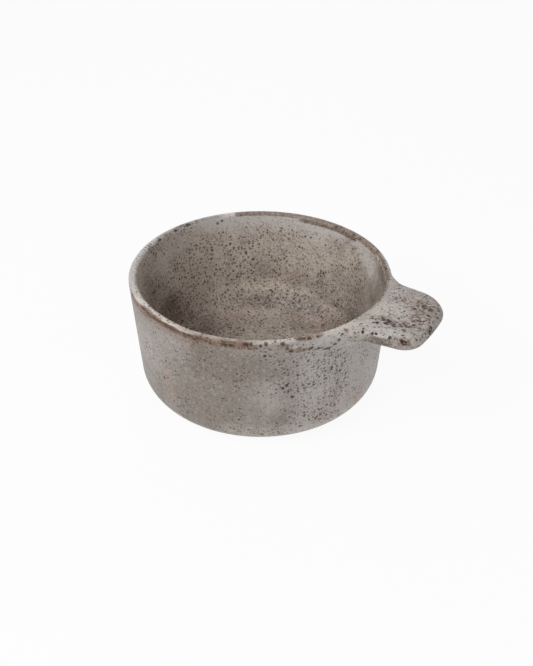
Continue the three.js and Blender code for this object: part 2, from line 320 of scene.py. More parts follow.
# Studio: bearing, elevation, distance, diameter and watts of each lamp
WORLD_STRENGTH = 0.31
LAMPS = {
    "key": (-107, 46, 0.9, 0.55, 4.6),
    "fill": (-15, 25, 0.9, 0.5, 0.7),
    "back": (121, 45, 0.9, 0.5, 0.8),
}
TABLE_GLOW = 0.93  # share of the table's white that is not light on it
TABLE_WHITE = 0.9
TABLE_ROUGHNESS = 0.9
TABLE_HALF = 4.0  # half of its side

# Camera, fitted to the photograph's ellipse of the rim and its outline
PICTURE = (533, 666)
FOCAL_PIXELS = 872.8
AIM = Vector((AXIS.x, 0, 23.6 * MM))
AIM_PIXEL = (260.3, 328.5)
CAMERA_BEARING = -58.8
CAMERA_ELEVATION = 34
CAMERA_DISTANCE = 365.2 * MM
SENSOR_WIDTH = 36


def smooth_step(value, low, high):
    share = np.clip((value - low) / (high - low), 0, 1)
    return share * share * (3 - 2 * share)


def wall_radius(level):
    """Outer radius of the sloping wall at a level"""
    return FOOT_WALL_RADIUS + WALL_SLOPE * (level - FOOT_STAND)


def rounded_line(corners):
    """Points along a line through corners (x, y, radius), each inner one rounded by its radius"""
    points = [np.array(corners[0][:2])]

    def draw_to(end):
        start = points[-1]
        steps = max(1, math.ceil(np.linalg.norm(end - start) / LINE_STEP))
        points.extend(start + (end - start) * i / steps for i in range(1, steps + 1))

    for before, corner, after in zip(corners, corners[1:], corners[2:]):
        tip, radius = np.array(corner[:2]), corner[2]
        back = np.array(before[:2]) - tip
        ahead = np.array(after[:2]) - tip
        back, ahead = back / np.linalg.norm(back), ahead / np.linalg.norm(ahead)
        half = math.acos(back @ ahead) / 2
        middle = back + ahead
        centre = tip + middle / np.linalg.norm(middle) * radius / math.sin(half)
        start = tip + back * radius / math.tan(half)
        end = tip + ahead * radius / math.tan(half)
        draw_to(start)
        turn = math.pi - 2 * half
        steps = max(2, math.ceil(turn / ARC_STEP), math.ceil(turn * radius / LINE_STEP))
        first, last = start - centre, end - centre
        for i in range(1, steps + 1):
            share = i / steps
            weights = math.sin((1 - share) * turn), math.sin(share * turn)
            points.append(centre + (first * weights[0] + last * weights[1]) / math.sin(turn))
    draw_to(np.array(corners[-1][:2]))
    return np.array(points)


def evenly(points, steps):
    """The same line as steps + 1 evenly spaced points"""
    lengths = np.linalg.norm(np.diff(points, axis=0), axis=1)
    along = np.concatenate([[0], np.cumsum(lengths)])
    places = np.linspace(0, along[-1], steps + 1)
    return np.stack([np.interp(places, along, part) for part in points.T], axis=1)


def bowl_profile():
    """The bowl's half section as radius and height, from the underside's middle to the floor's.

    Returns its points, and the places of the two that bound the tab: low on the wall, and the
    crest.
    """
    low_point = (wall_radius(LOW_LEVEL), LOW_LEVEL)
    crest = (CREST_RADIUS, HEIGHT)
    foot_inside = FOOT_RADIUS - FOOT_WIDTH
    under = rounded_line([
        (LINE_STEP, RECESS_DEPTH),
        (foot_inside, RECESS_DEPTH, RECESS_FILLET),
        (foot_inside, 0, FOOT_EDGE),
        (FOOT_RADIUS, 0, FOOT_EDGE),
        (FOOT_RADIUS, FOOT_STAND, FOOT_EDGE),
        (FOOT_WALL_RADIUS, FOOT_STAND, HEEL_RADIUS),
        low_point,
    ])
    rim = evenly(rounded_line([low_point, (RIM_RADIUS, HEIGHT, RIM_EDGE), crest]), TAB_ROWS)
    inside = rounded_line([
        crest,
        (RIM_RADIUS - RIM_THICKNESS, HEIGHT, RIM_EDGE),
        (FOOT_WALL_RADIUS - LOWER_WALL, FLOOR_LEVEL, CAVITY_FILLET),
        (LINE_STEP, FLOOR_LEVEL),
    ])
    low_row = len(under) - 1
    return np.concatenate([under, rim[1:], inside[1:]]), low_row, low_row + TAB_ROWS


def around(radius, level, bearing):
    """Points at a radius, level and bearing"""
    shape = np.broadcast(radius, level, bearing).shape
    parts = radius * np.cos(bearing), radius * np.sin(bearing), level
    return np.stack([np.broadcast_to(part, shape) for part in parts], axis=-1)


def sunk(profile, bearings, depth):
    """A grid on the bowl that sinks to this depth away from its border"""
    inwards = np.gradient(profile, axis=0)[:, ::-1] * (-1, 1)
    inwards /= np.linalg.norm(inwards, axis=1, keepdims=True)
    if profile[0, 1] > profile[-1, 1]:
        inwards = -inwards
    rows, columns = (
        smooth_step(np.sin(np.linspace(0, math.pi, count)), 0, JOINT_SLOPE)
        for count in (len(profile), len(bearings))
    )
    place = profile[:, None] + inwards[:, None] * (depth * np.outer(rows, columns))[..., None]
    return around(place[..., 0], place[..., 1], bearings[None])


def round_union(a, b, radius):
    """Distance to two solids together, with a fillet between them"""
    corner = np.hypot(np.maximum(radius - a, 0), np.maximum(radius - b, 0))
    return np.maximum(radius, np.minimum(a, b)) - corner


def round_common(a, b, radius):
    """Distance to what two solids share, with its edge rounded"""
    corner = np.hypot(np.maximum(radius + a, 0), np.maximum(radius + b, 0))
    return np.minimum(-radius, np.maximum(a, b)) + corner


def tab_distance(points):
    """Distance to the tab and the wall as one lump of clay, less than zero inside"""
    x, y, z = np.moveaxis(points, -1, 0)
    beyond = np.hypot(x, y) - wall_radius(z)
    bow_radius = (TAB_TIP_HALF**2 + TAB_TIP_BOW**2) / (2 * TAB_TIP_BOW)
    tip = np.hypot(x - TAB_TIP + bow_radius, y) - bow_radius
    root_x = math.sqrt(RIM_WIDEST**2 - TAB_ROOT_HALF**2)
    lean = math.atan2(TAB_ROOT_HALF - TAB_TIP_HALF, TAB_TIP - TAB_TIP_BOW - root_x)
    across = (x - root_x) * math.sin(lean)
    near = across + (-y - TAB_ROOT_HALF) * math.cos(lean)
    far = across + (y - TAB_ROOT_HALF) * math.cos(lean)
    outline = round_common(round_common(tip, near, TAB_NEAR_CORNER), far, TAB_FAR_CORNER)
    slab = round_common(outline, UNDER_LEVEL - z, TAB_THICKNESS / 2)
    is_far = smooth_step(y, -TAB_ROOT_HALF / 2, TAB_ROOT_HALF / 2)
    side_fillet = TAB_NEAR_FILLET + (TAB_FAR_FILLET - TAB_NEAR_FILLET) * is_far
    raised = smooth_step(z, UNDER_LEVEL, HEIGHT)
    fillet = TAB_UNDER_FILLET + (side_fillet - TAB_UNDER_FILLET) * raised
    lump = round_union(beyond * math.cos(math.atan(WALL_SLOPE)), slab, fillet)
    middle = np.clip(beyond / (TAB_TIP - RIM_WIDEST), 0, 1)
    sideways = np.clip(y / TAB_TIP_HALF, -1, 1)
    dish = TAB_DISH * np.sin(math.pi * middle) ** 2 * np.cos(math.pi / 2 * sideways) ** 2
    out = smooth_step(beyond, 0, TAB_EDGE_REACH)
    edge = RIM_EDGE + (TAB_THICKNESS / 2 - RIM_EDGE) * out
    return round_common(lump, z - HEIGHT + dish, edge)


def onto_tab(points, rounds):
    """The points moved to where the tab's distance is zero"""
    for _ in range(rounds):
        value = tab_distance(points)
        slopes = []
        for k in range(3):
            step = np.zeros(3)
            step[k] = SLOPE_REACH
            change = tab_distance(points + step) - tab_distance(points - step)
            slopes.append(change / (2 * SLOPE_REACH))
        slope = np.stack(slopes, axis=-1)
        steepness = np.maximum((slope**2).sum(-1), LEAST_STEEPNESS)
        points = points - slope * (value / steepness)[..., None]
    return points


def tab_outline(columns):
    """Evenly spaced points of the tab's edge seen from above, from the near crotch to the far"""

    def on_rim(bearing):
        return RIM_WIDEST * math.cos(bearing), RIM_WIDEST * math.sin(bearing)

    shoulder = TAB_TIP - TAB_TIP_BOW
    corners = [
        on_rim(-END_BEARING),
        (*on_rim(-ROOT_BEARING), TAB_NEAR_FILLET),
        (shoulder, -TAB_TIP_HALF, TAB_NEAR_CORNER),
        (shoulder, TAB_TIP_HALF, TAB_FAR_CORNER),
        (*on_rim(ROOT_BEARING), TAB_FAR_FILLET),
        on_rim(END_BEARING),
    ]
    return evenly(rounded_line(corners), columns)


def tab_surface(border):
    """The tab's outer surface as a grid, whose columns run from the crest down to the wall.

    border is the plain bowl's grid there. The surface keeps its outer rows and columns.
    """
    edge = tab_outline(TAB_COLUMNS)
    grid = border.copy()
    for j, (x, y) in enumerate(edge):
        root, wall = border[0, j], border[-1, j]
        under = (wall[0], wall[1], UNDER_LEVEL)
        corners = [root, (x, y, HEIGHT), (x, y, UNDER_LEVEL), under, wall]
        section = evenly(np.array(corners), TAB_ROWS)
        out = smooth_step(math.hypot(x, y) - RIM_WIDEST, 0, TAB_EDGE_REACH)
        grid[:, j] += (section - grid[:, j]) * out
    inner = (slice(1, -1), slice(1, -1))
    for _ in range(SKIN_ROUNDS):
        beside = grid[:-2, 1:-1] + grid[2:, 1:-1] + grid[1:-1, :-2] + grid[1:-1, 2:]
        grid[inner] = onto_tab(beside / 4, 1)
    grid[inner] = onto_tab(grid[inner], LAST_ROUNDS)
    return grid


def waves(bearing, kinds):
    """Waves round the bowl, each from 0 to 2"""
    return sum(1 - np.cos(count * bearing + turn) for count, turn in kinds)


def handmade(points):
    """The small unevenness of a thrown bowl, always inwards and downwards, and none at the foot"""
    x, y, z = np.moveaxis(points, -1, 0)
    bearing = np.arctan2(y, x)
    rise = smooth_step(z, UNEVEN_FROM * HEIGHT, HEIGHT)
    radius = np.hypot(x, y)
    inner = smooth_step(CREST_RADIUS - radius, 0, RIM_THICKNESS / 2)
    inner = inner * smooth_step(z, THIN_FROM * HEIGHT, THIN_FULL * HEIGHT)
    thinning = 0
    for place, half, depth in RIM_THINNINGS:
        away = np.cos(bearing - math.radians(place))
        thinning = thinning + depth * inner * smooth_step(away, math.cos(math.radians(half)), 1)
    shrink = OUT_OF_ROUND * waves(bearing, ROUND_WAVES) * rise / RIM_RADIUS
    stretch = 1 - shrink + thinning / np.maximum(radius, MM)
    dip = RIM_DIP * waves(bearing, DIP_WAVES) * rise
    return np.stack([x * stretch, y * stretch, z - dip], axis=-1)


def grid_faces(ids):
    """Quads of a grid of vertex numbers, facing out where rows run up and columns anticlockwise"""
    corners = ids[:-1, :-1], ids[:-1, 1:], ids[1:, 1:], ids[1:, :-1]
    return np.stack([c.ravel() for c in corners], axis=1)


def fan_faces(ring, middle):
    """Triangles from a ring of vertex numbers to the one in its middle"""
    return np.stack([ring, np.roll(ring, -1), np.full(len(ring), middle)], axis=1)


def vertex_normals(points, *face_groups):
    """Normals of the points, each the mean of its faces weighted by their areas"""
    normals = np.zeros_like(points)
    for faces in face_groups:
        a, b, c, d = (points[faces[:, k % faces.shape[1]]] for k in range(4))
        across = np.cross(c - a, d - b) if faces.shape[1] == 4 else np.cross(b - a, c - a)
        for k in range(faces.shape[1]):
            np.add.at(normals, faces[:, k], across)
    length = np.linalg.norm(normals, axis=1, keepdims=True)
    return normals / np.maximum(length, 1e-12)


def add_object(name, data):
    """A new object in the scene"""
    new = bpy.data.objects.new(name, data)
    bpy.context.scene.collection.objects.link(new)
    return new


def make_piece(name, node, points, normals, face_groups, material):
    """A mesh object of some of the points and the faces between them"""
    used = np.unique(np.concatenate([faces.ravel() for faces in face_groups]))
    number = np.zeros(len(points), int)
    number[used] = np.arange(len(used))
    mesh = bpy.data.meshes.new(name)
    faces = [face for group in face_groups for face in number[group].tolist()]
    mesh.from_pydata((points[used] + np.array(AXIS)).tolist(), [], faces)
    mesh.materials.append(material)
    mesh.shade_smooth()
    mesh.normals_split_custom_set_from_vertices(normals[used].tolist())
    piece = add_object(name, mesh)
    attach(piece, "root")
    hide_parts(node)


def make_ramekin(material):
    """The bowl and the tab as two closed pieces that meet along one shared line"""
    profile, low_row, crest_row = bowl_profile()
    tab_bearings = np.linspace(-END_BEARING, END_BEARING, TAB_COLUMNS + 1)
    rest = np.linspace(END_BEARING, 2 * math.pi - END_BEARING, REST_COLUMNS + 1)[1:-1]
    bearings = np.concatenate([tab_bearings, rest])
    bowl = around(profile[:, None, 0], profile[:, None, 1], bearings[None])
    rows, columns = bowl.shape[:2]

    tab_rows = slice(crest_row, low_row - 1, -1)
    tab = tab_surface(bowl[tab_rows, : TAB_COLUMNS + 1])
    root = sunk(profile[tab_rows], tab_bearings, ROOT_DEPTH)
    seat_rows = slice(low_row, crest_row + 1)
    bowl[seat_rows, : TAB_COLUMNS + 1] = sunk(profile[seat_rows], tab_bearings, SEAT_DEPTH)

    bowl_ids = np.arange(rows * columns).reshape(rows, columns)
    closed_ids = np.concatenate([bowl_ids, bowl_ids[:, :1]], axis=1)
    under_middle = rows * columns
    floor_middle = under_middle + 1
    tab_ids = bowl_ids[tab_rows, : TAB_COLUMNS + 1].copy()
    root_ids = tab_ids.copy()
    inner_ids = np.arange((TAB_ROWS - 1) * (TAB_COLUMNS - 1)).reshape(TAB_ROWS - 1, -1)
    tab_ids[1:-1, 1:-1] = floor_middle + 1 + inner_ids
    root_ids[1:-1, 1:-1] = floor_middle + 1 + inner_ids.size + inner_ids
    points = handmade(np.concatenate([
        bowl.reshape(-1, 3),
        [[0, 0, RECESS_DEPTH], [0, 0, FLOOR_LEVEL]],
        tab[1:-1, 1:-1].reshape(-1, 3),
        root[1:-1, 1:-1].reshape(-1, 3),
    ]))

    shown = [
        grid_faces(closed_ids[: low_row + 1]),
        grid_faces(closed_ids[low_row : crest_row + 1, TAB_COLUMNS:]),
        grid_faces(closed_ids[crest_row:]),
        fan_faces(bowl_ids[0, ::-1], under_middle),
        fan_faces(bowl_ids[-1], floor_middle),
    ]
    seat = grid_faces(bowl_ids[seat_rows, : TAB_COLUMNS + 1])
    outside = grid_faces(tab_ids[::-1])
    back = grid_faces(root_ids)
    hidden = vertex_normals(points, seat, back)
    normals = vertex_normals(points, *shown, outside)
    unseen = (normals**2).sum(1) == 0
    normals[unseen] = hidden[unseen]
    make_piece("glazed_bowl", "cup_body", points, normals, [*shown, seat], material)
    make_piece("glazed_tab", "tab_handle", points, normals, [outside, back], material)


class Nodes:
    """Adds nodes to a tree. Inputs are numbers, colours or other nodes' outputs."""

    def __init__(self, tree):
        self.tree = tree

    def add(self, kind, *inputs, **settings):
        """The outputs of a new node"""
        node = self.tree.nodes.new("ShaderNode" + kind)
        for name, value in settings.items():
            setattr(node, name, value)
        for socket, value in zip([s for s in node.inputs if s.enabled], inputs):
            if isinstance(value, bpy.types.NodeSocket):
                self.tree.links.new(value, socket)
            else:
                socket.default_value = value
        return [s for s in node.outputs if s.enabled]

    def math(self, operation, *values):
        return self.add("Math", *values, operation=operation)[0]

    def vector(self, operation, *values):
        return self.add("VectorMath", *values, operation=operation)[0]

    def rise(self, value, low, high):
        """0 at low, 1 at high and smooth between"""
        return self.add("MapRange", value, low, high, 0.0, 1.0, interpolation_type="SMOOTHSTEP")[0]

    def blend(self, share, first, second):
        return self.add("Mix", share, first, second, data_type="RGBA")[0]

    def times(self, first, *others):
        for other in others:
            first = self.math("MULTIPLY", first, other)
        return first

    def most(self, first, *others):
        for other in others:
            first = self.math("MAXIMUM", first, other)
        return first

    def coat(self, colour, tone, strength, *masks):
        """The colour under a tone, which is this strong where all the masks are full"""
        return self.blend(self.times(*masks, strength), colour, tone)

    def feed(self, node, name, value):
        """Links a value to an input of a node that is already there"""
        self.tree.links.new(value, node.inputs[name])

    def less(self, first, second):
        """The first mask where the second is not"""
        return self.math("MULTIPLY", first, self.math("SUBTRACT", 1.0, second))

    def noise(self, place, size, detail, roughness, part):
        """Noise around a half, as a value and as a colour"""
        moved = self.vector("ADD", place, tuple(part * step for step in PART_OF_SPACE))
        return self.add("TexNoise", moved, 1 / size, detail, roughness)

    def specks(self, place, spacing, radius, share, amount):
        """Round specks of mixed sizes, one in each of some cells, and larger by the amount"""
        distance, colour, _ = self.add("TexVoronoi", place, 1 / spacing)
        chance = self.add("SeparateColor", colour)[0]
        first = 1 - share
        size = self.add("MapRange", chance, first, 1.0, LEAST_SPECK * radius, radius)[0]
        size = self.times(size, self.rise(chance, first, first + SPECK_FADE), amount)
        depth = self.math("SUBTRACT", size, self.math("MULTIPLY", distance, spacing))
        return self.rise(depth, *(border * radius for border in SPECK_BORDER))


def new_material(name):
    """A new material, its nodes and its shader"""
    material = bpy.data.materials.new(name)
    material.use_nodes = True
    nodes = Nodes(material.node_tree)
    return material, nodes, nodes.tree.nodes["Principled BSDF"]


def towards(bearing, elevation):
    """Direction at a bearing and an elevation in degrees, with a length of 1"""
    turn, lift = math.radians(bearing), math.radians(elevation)
    level = math.cos(lift)
    return Vector((math.cos(turn) * level, math.sin(turn) * level, math.sin(lift)))


def on_wall(bearing, level, inset=0):
    """A place on the wall at a way inside its middle, in mm"""
    radius = (CREST_RADIUS - WALL_SLOPE * (HEIGHT - level * MM)) / MM - inset
    turn = math.radians(bearing)
    return radius * math.cos(turn), radius * math.sin(turn), level


class GlazePlaces:
    """Where on the dish a point is, as masks and lengths in mm"""

    def __init__(self, nodes):
        self.nodes = nodes
        coords = nodes.tree.nodes.new("ShaderNodeTexCoord").outputs["Object"]
        from_axis = nodes.vector("SUBTRACT", coords, tuple(AXIS))
        self.place = nodes.vector("MULTIPLY", from_axis, (1 / MM,) * 3)
        self.warped = self.rippled(*WARPED)
        self.ragged = self.rippled(*RAGGED)
        self.frayed = self.rippled(*FRAYED)
        self.x, self.y, self.z = nodes.add("SeparateXYZ", self.place)
        radius = nodes.vector("LENGTH", nodes.vector("MULTIPLY", self.place, LEVEL))
        self.direction = nodes.vector("NORMALIZE", nodes.vector("MULTIPLY", self.warped, LEVEL))
        crest, top = CREST_RADIUS / MM, HEIGHT / MM
        below = nodes.math("SUBTRACT", top, self.z)
        middle = nodes.math("MULTIPLY_ADD", below, -WALL_SLOPE, crest)
        beyond = nodes.math("SUBTRACT", radius, middle)
        self.inside = nodes.times(
            nodes.rise(beyond, *INSIDE_WAY), nodes.rise(self.z, *INSIDE_LEVELS)
        )
        self.outside = nodes.math("SUBTRACT", 1.0, self.inside)
        from_crest = nodes.math("SUBTRACT", radius, crest)
        # Ways from the rim's crest round its outer and its inner edge
        limited = nodes.math("MAXIMUM", from_crest, INWARD_LIMIT)
        self.outwards = nodes.math("ADD", limited, below)
        self.inwards = nodes.math("SUBTRACT", below, from_crest)
        self.wall = nodes.rise(from_crest, *WALL_WAY)
        self.tab = nodes.rise(from_crest, *TAB_WAY)
        self.crest = nodes.less(nodes.rise(below, *CREST_DEPTH), self.tab)

    def rippled(self, size, depth):
        """The place moved about by a noise of this size, by up to half the depth"""
        colour = self.nodes.noise(self.place, size, *RIPPLE_NOISE)[1]
        ripple = self.nodes.add("CombineXYZ", *self.nodes.add("SeparateColor", colour))[0]
        ripple = self.nodes.vector("MULTIPLY_ADD", ripple, (depth,) * 3, (-depth / 2,) * 3)
        return self.nodes.vector("ADD", self.place, ripple)

    def facing(self, first, last, soft):
        """The sector between two bearings"""
        half = math.radians(last - first) / 2
        middle = towards((first + last) / 2, 0)
        along = self.nodes.vector("DOT_PRODUCT", self.direction, middle)
        return self.nodes.rise(along, math.cos(half + math.radians(soft)), math.cos(half))

    def near(self, place, ovals, soft):
        """1 in ovals, each a centre and its half sizes, and less towards their borders"""
        closest = 9.0  # in half sizes, far outside
        for centre, size in ovals:
            away = self.nodes.vector("SUBTRACT", place, centre)
            away = self.nodes.vector("MULTIPLY", away, tuple(1 / s for s in size))
            closest = self.nodes.math("MINIMUM", closest, self.nodes.vector("LENGTH", away))
        return self.nodes.rise(closest, 1 + soft / 2, 1 - soft)

    def blots(self, marks, soft=BLOT_SOFT):
        """Large soft patches on the wall"""
        ovals = [(on_wall(b, z), (w, w, h)) for b, z, w, h in marks]
        return self.near(self.warped, ovals, soft)

    def dots(self, marks, soft=DOT_SOFT):
        """Small ragged spots on the wall, with how far inside its middle they lie"""
        ovals = [(on_wall(b, z, inset), (w, w, h)) for b, z, w, h, inset in marks]
        return self.near(self.frayed, ovals, soft)

    def tab_patches(self, marks, place, soft=BLOT_SOFT, depth=TAB_MARK_DEPTH):
        """Patches on the tab"""
        ovals = [((x, y, z), (w, h, h + depth)) for x, y, z, w, h in marks]
        return self.near(place, ovals, soft)

    def between(self, value, low, high, soft):
        """Where a value lies between two limits"""
        nodes = self.nodes
        return nodes.times(nodes.rise(value, low - soft, low), nodes.rise(value, high + soft, high))

    def bands(self, value, marks):
        """Bands round the dish, each over a sector and between two limits of a value"""
        strongest = 0.0
        for first, last, end_soft, low, high, soft in marks:
            band = self.between(value, low, high, soft)
            band = self.nodes.times(band, self.facing(first, last, end_soft))
            strongest = self.nodes.most(strongest, band)
        return strongest


def outer_tones(nodes, at, mottle, runs, rings):
    """Colour of the outer wall, with painted light on its right side"""
    most, times, coat = nodes.most, nodes.times, nodes.coat
    clouds = nodes.noise(nodes.vector("MULTIPLY", at.place, CLOUD_STRETCH), *CLOUDS)[0]
    cloudy = nodes.math("MULTIPLY_ADD", rings, 0.2, clouds)
    cloudy = nodes.math("MULTIPLY_ADD", runs, 0.35, cloudy)
    cloudy = nodes.math("MULTIPLY_ADD", mottle, 0.3, cloudy)
    colour = nodes.blend(nodes.rise(cloudy, 0.7, 1.15), OLIVE, GREY)
    colour = coat(colour, OLIVE, 0.75, at.blots(OLIVE_CLOUDS))
    # Cool glaze in clouds, and the right side painted lighter as if lit from there
    cool = most(times(at.blots(COOL_CLOUDS), 0.45), times(at.facing(*PAINTED_LIGHT_SIDE), at.wall))
    colour = coat(colour, COOL, 0.82, cool)
    colour = coat(colour, PINK, 0.4, at.blots(WARM_RUNS))
    heel = times(nodes.rise(at.z, *HEEL_LEVELS), at.facing(*PALE_HEEL), at.wall, 1.5)
    return coat(colour, CREAM, 0.4, most(at.blots(PALE_RUNS), heel))


def inner_tones(nodes, at, mottle):
    """Colour of the inner wall and floor, with painted shade and highlight, and where their glaze
    is cool and thick
    """
    most, times, rise, coat = nodes.most, nodes.times, nodes.rise, nodes.coat
    colour = nodes.blend(rise(mottle, 0.3, 0.7), SHADE, TAUPE)
    floor = rise(at.z, *FLOOR_LEVELS)
    # Painted shade over the floor and in the listed patches; on the floor it also stands for its
    # darker glaze
    inner_shade = most(times(floor, 0.3), times(at.blots(PAINTED_SHADE, VERY_SOFT), 0.78))
    inner_shade = most(inner_shade, times(at.blots(FAINT_PAINTED_SHADE, VERY_SOFT), 0.5))
    inner_shade = most(inner_shade, times(at.dots(FLOOR_PAINTED_SHADE, VERY_SOFT), 0.8))
    colour = nodes.blend(inner_shade, colour, OLIVE)
    patches = nodes.noise(at.place, *PATCHES)[0]
    blush = most(at.blots(BLUSH), times(floor, rise(patches, 0.5, 0.65)))
    colour = coat(colour, PINK, 0.55, blush)
    # Painted highlight in a pale arc along the floor's fillet, partly paler glaze
    highlight_arc = most(at.bands(at.z, FILLET_HIGHLIGHT), at.blots(FILLET_HIGHLIGHT_ENDS))
    colour = coat(colour, MILK, 0.8, highlight_arc, rise(mottle, 0.25, 0.6))
    # Deeper painted shade low on the left, along the foot of the back wall and under the right of
    # the rim
    deep_shade = most(at.blots(DEEP_PAINTED_SHADE), times(at.dots(FLOOR_DEEP_SHADE, VERY_SOFT), 0.85))
    deep_shade = most(deep_shade, times(at.blots(NOOK_SHADE), 0.7))
    colour = coat(colour, UMBER, 0.67, deep_shade)
    ragged = nodes.math("MULTIPLY_ADD", mottle, LIP_WANDER, at.z)
    lip = times(rise(ragged, *LIP_LEVELS), at.facing(*POOLED_LIP))
    cool = most(lip, at.blots(POOLS), times(at.blots(THIN_POOLS), 0.4))
    colour = coat(colour, MIST, 0.9, cool)
    colour = coat(colour, OLIVE, 0.6, at.blots(POOL_EDGES, VERY_SOFT))
    return coat(colour, OLIVE, 0.9, at.bands(at.inwards, LIP_SHADE)), cool


def rim_marks(nodes, at, colour, mottle, knots):
    """The rim's colours, where the thin glaze breaks to cream and brown, painted shade on its
    right, and its darkest marks
    """
    most, times, rise, coat = nodes.most, nodes.times, nodes.rise, nodes.coat
    pale = nodes.blend(at.facing(*CREAM_CREST), MIST, CREAM)
    colour = coat(colour, pale, 0.75, at.crest)
    colour = coat(colour, MILK, 0.6, at.crest, at.facing(*MILK_CREST))
    colour = coat(colour, RUST, 0.4, at.crest, at.facing(*RUST_CREST))

    # Brown line round the outer edge of the front, with a dark core
    outer_edge = nodes.math("MULTIPLY_ADD", mottle, EDGE_WANDER, at.outwards)
    line = at.bands(outer_edge, RIM_LINE)
    colour = coat(colour, RUST, 0.3, at.bands(outer_edge, RIM_STAIN))
    colour = coat(colour, RUST, 0.75, line)
    core = most(at.bands(outer_edge, RIM_CORE), times(line, rise(knots, 0.54, 0.62)))

    # Brown band over the back and along the inner edge of the right
    inner_edge = nodes.math("MULTIPLY_ADD", mottle, EDGE_WANDER, at.inwards)
    back = times(at.bands(inner_edge, RIM_BACK), rise(outer_edge, *BACK_LIMIT))
    colour = coat(colour, RUST, 0.85, back)
    dim = most(at.facing(*DIM_BACK), 0.35)
    colour = coat(colour, OLIVE, 0.5, back, rise(mottle, 0.3, 0.55), dim)
    smear = at.bands(inner_edge, RIM_SMEAR)
    colour = coat(colour, OLIVE, 0.6, smear)
    colour = coat(colour, RUST, 0.7, at.dots(RIM_RUST))
    colour = coat(colour, MIST, 0.6, at.dots(RIM_MILK))
    # Painted shade on the outer round of the rim at the right
    colour = coat(colour, OLIVE, 0.45, at.bands(at.outwards, RIM_OUTER_SHADE))

    broken = times(most(back, smear), rise(knots, 0.56, 0.64), 0.8)
    worn = times(at.bands(inner_edge, RIM_WORN), 0.6)
    colour = nodes.blend(most(times(core, 0.7), broken, worn), colour, UMBER)
    dots = at.dots(RIM_DOTS)
    return coat(colour, IRON, 0.8, dots), most(core, dots)


def tab_marks(nodes, at, colour, mottle, knots):
    """The tab's colours, with the crawled brown band along it, painted shade and highlight, and its
    darkest marks
    """
    most, times, rise, coat = nodes.most, nodes.times, nodes.rise, nodes.coat
    on_top = times(at.tab, rise(at.z, *TAB_TOP))
    ground = nodes.blend(rise(mottle, 0.36, 0.56), GREY, COOL)
    colour = coat(colour, ground, 0.6, on_top)
    # Painted shade over the far part of its top
    colour = coat(colour, OLIVE, 0.85, at.tab_patches(TAB_FAR_SHADE, at.warped))
    # Painted highlight along the near edge of the top, joined below with the cream glaze patches
    edge_highlight = at.tab_patches(TAB_EDGE_HIGHLIGHT, at.ragged)
    cream = most(at.tab_patches(TAB_CREAM, at.warped), edge_highlight)
    colour = coat(colour, CREAM, 0.6, cream)

    # Band in which the glaze has crawled to worms and clots, with a few clots beside it
    core, wide = (
        nodes.less(times(at.tab_patches(marks, at.warped), at.outside), edge_highlight)
        for marks in (TAB_CORE, TAB_BAND)
    )
    wide = most(core, times(wide, 0.8))
    colour = coat(colour, PINK, 0.5, wide)
    wander = nodes.noise(at.frayed, *WORMS)[0]
    worms = rise(nodes.math("ABSOLUTE", nodes.math("SUBTRACT", wander, 0.5)), 0.08, 0.03)
    clots = rise(nodes.noise(at.frayed, *CLOTS)[0], 0.5, 0.57)
    crawled = most(times(wide, worms, rise(knots, 0.44, 0.54)), times(core, clots))
    beside = times(on_top, clots, rise(mottle, 0.5, 0.6), 0.15)
    crawled = times(most(crawled, beside), at.outside)
    colour = nodes.blend(crawled, colour, UMBER)
    colour = coat(colour, CREAM, 0.7, wide, rise(wander, 0.58, 0.66))

    # Painted shade along the near side and under the edges, and spots
    shaded_near_side = times(at.tab, rise(at.z, *TAB_UPPER_EDGE), rise(at.y, *TAB_NEAR_SIDE))
    colour = coat(colour, OLIVE, 0.7, shaded_near_side, at.between(at.x, *TAB_NEAR_SPAN))
    shaded_lower_edge = times(at.tab, rise(at.z, *TAB_LOWER_EDGE), rise(mottle, 0.3, 0.6), 0.3)
    shade = times(at.tab_patches(TAB_SHADE, at.ragged), 0.5)
    colour = nodes.blend(most(shaded_lower_edge, shade), colour, UMBER)
    rust = at.tab_patches(TAB_RUST, at.frayed, depth=TAB_DOT_DEPTH)
    colour = coat(colour, RUST, 0.9, rust)
    dots = at.tab_patches(TAB_DOTS, at.frayed, TAB_DOT_SOFT, TAB_DOT_DEPTH)
    return nodes.blend(dots, colour, IRON), most(crawled, dots)


def iron_specks(nodes, at, thick):
    """Specks, crowded where the glaze is warm and few where it is cool and thick"""
    most, times = nodes.most, nodes.times
    crowd = nodes.rise(nodes.noise(at.place, *CROWDING)[0], 0.3, 0.7)
    amount = nodes.math("MULTIPLY_ADD", crowd, 0.3, 0.65)
    dense = most(times(at.blots(CROWDS), at.outside), times(at.tab, 0.6))
    dense = most(times(at.inside, 0.9), dense)
    amount = nodes.math("MULTIPLY_ADD", dense, 0.35, amount)
    amount = nodes.less(amount, times(thick, 0.45))
    specks = times(at.dots(IRON_SPOTS), 0.9)
    for spacing, radius, share, growth, strength in SPECKS:
        size = nodes.math("MINIMUM", amount, growth)
        layer = nodes.specks(at.place, spacing, radius, share, size)
        specks = most(specks, times(layer, strength))
    return specks


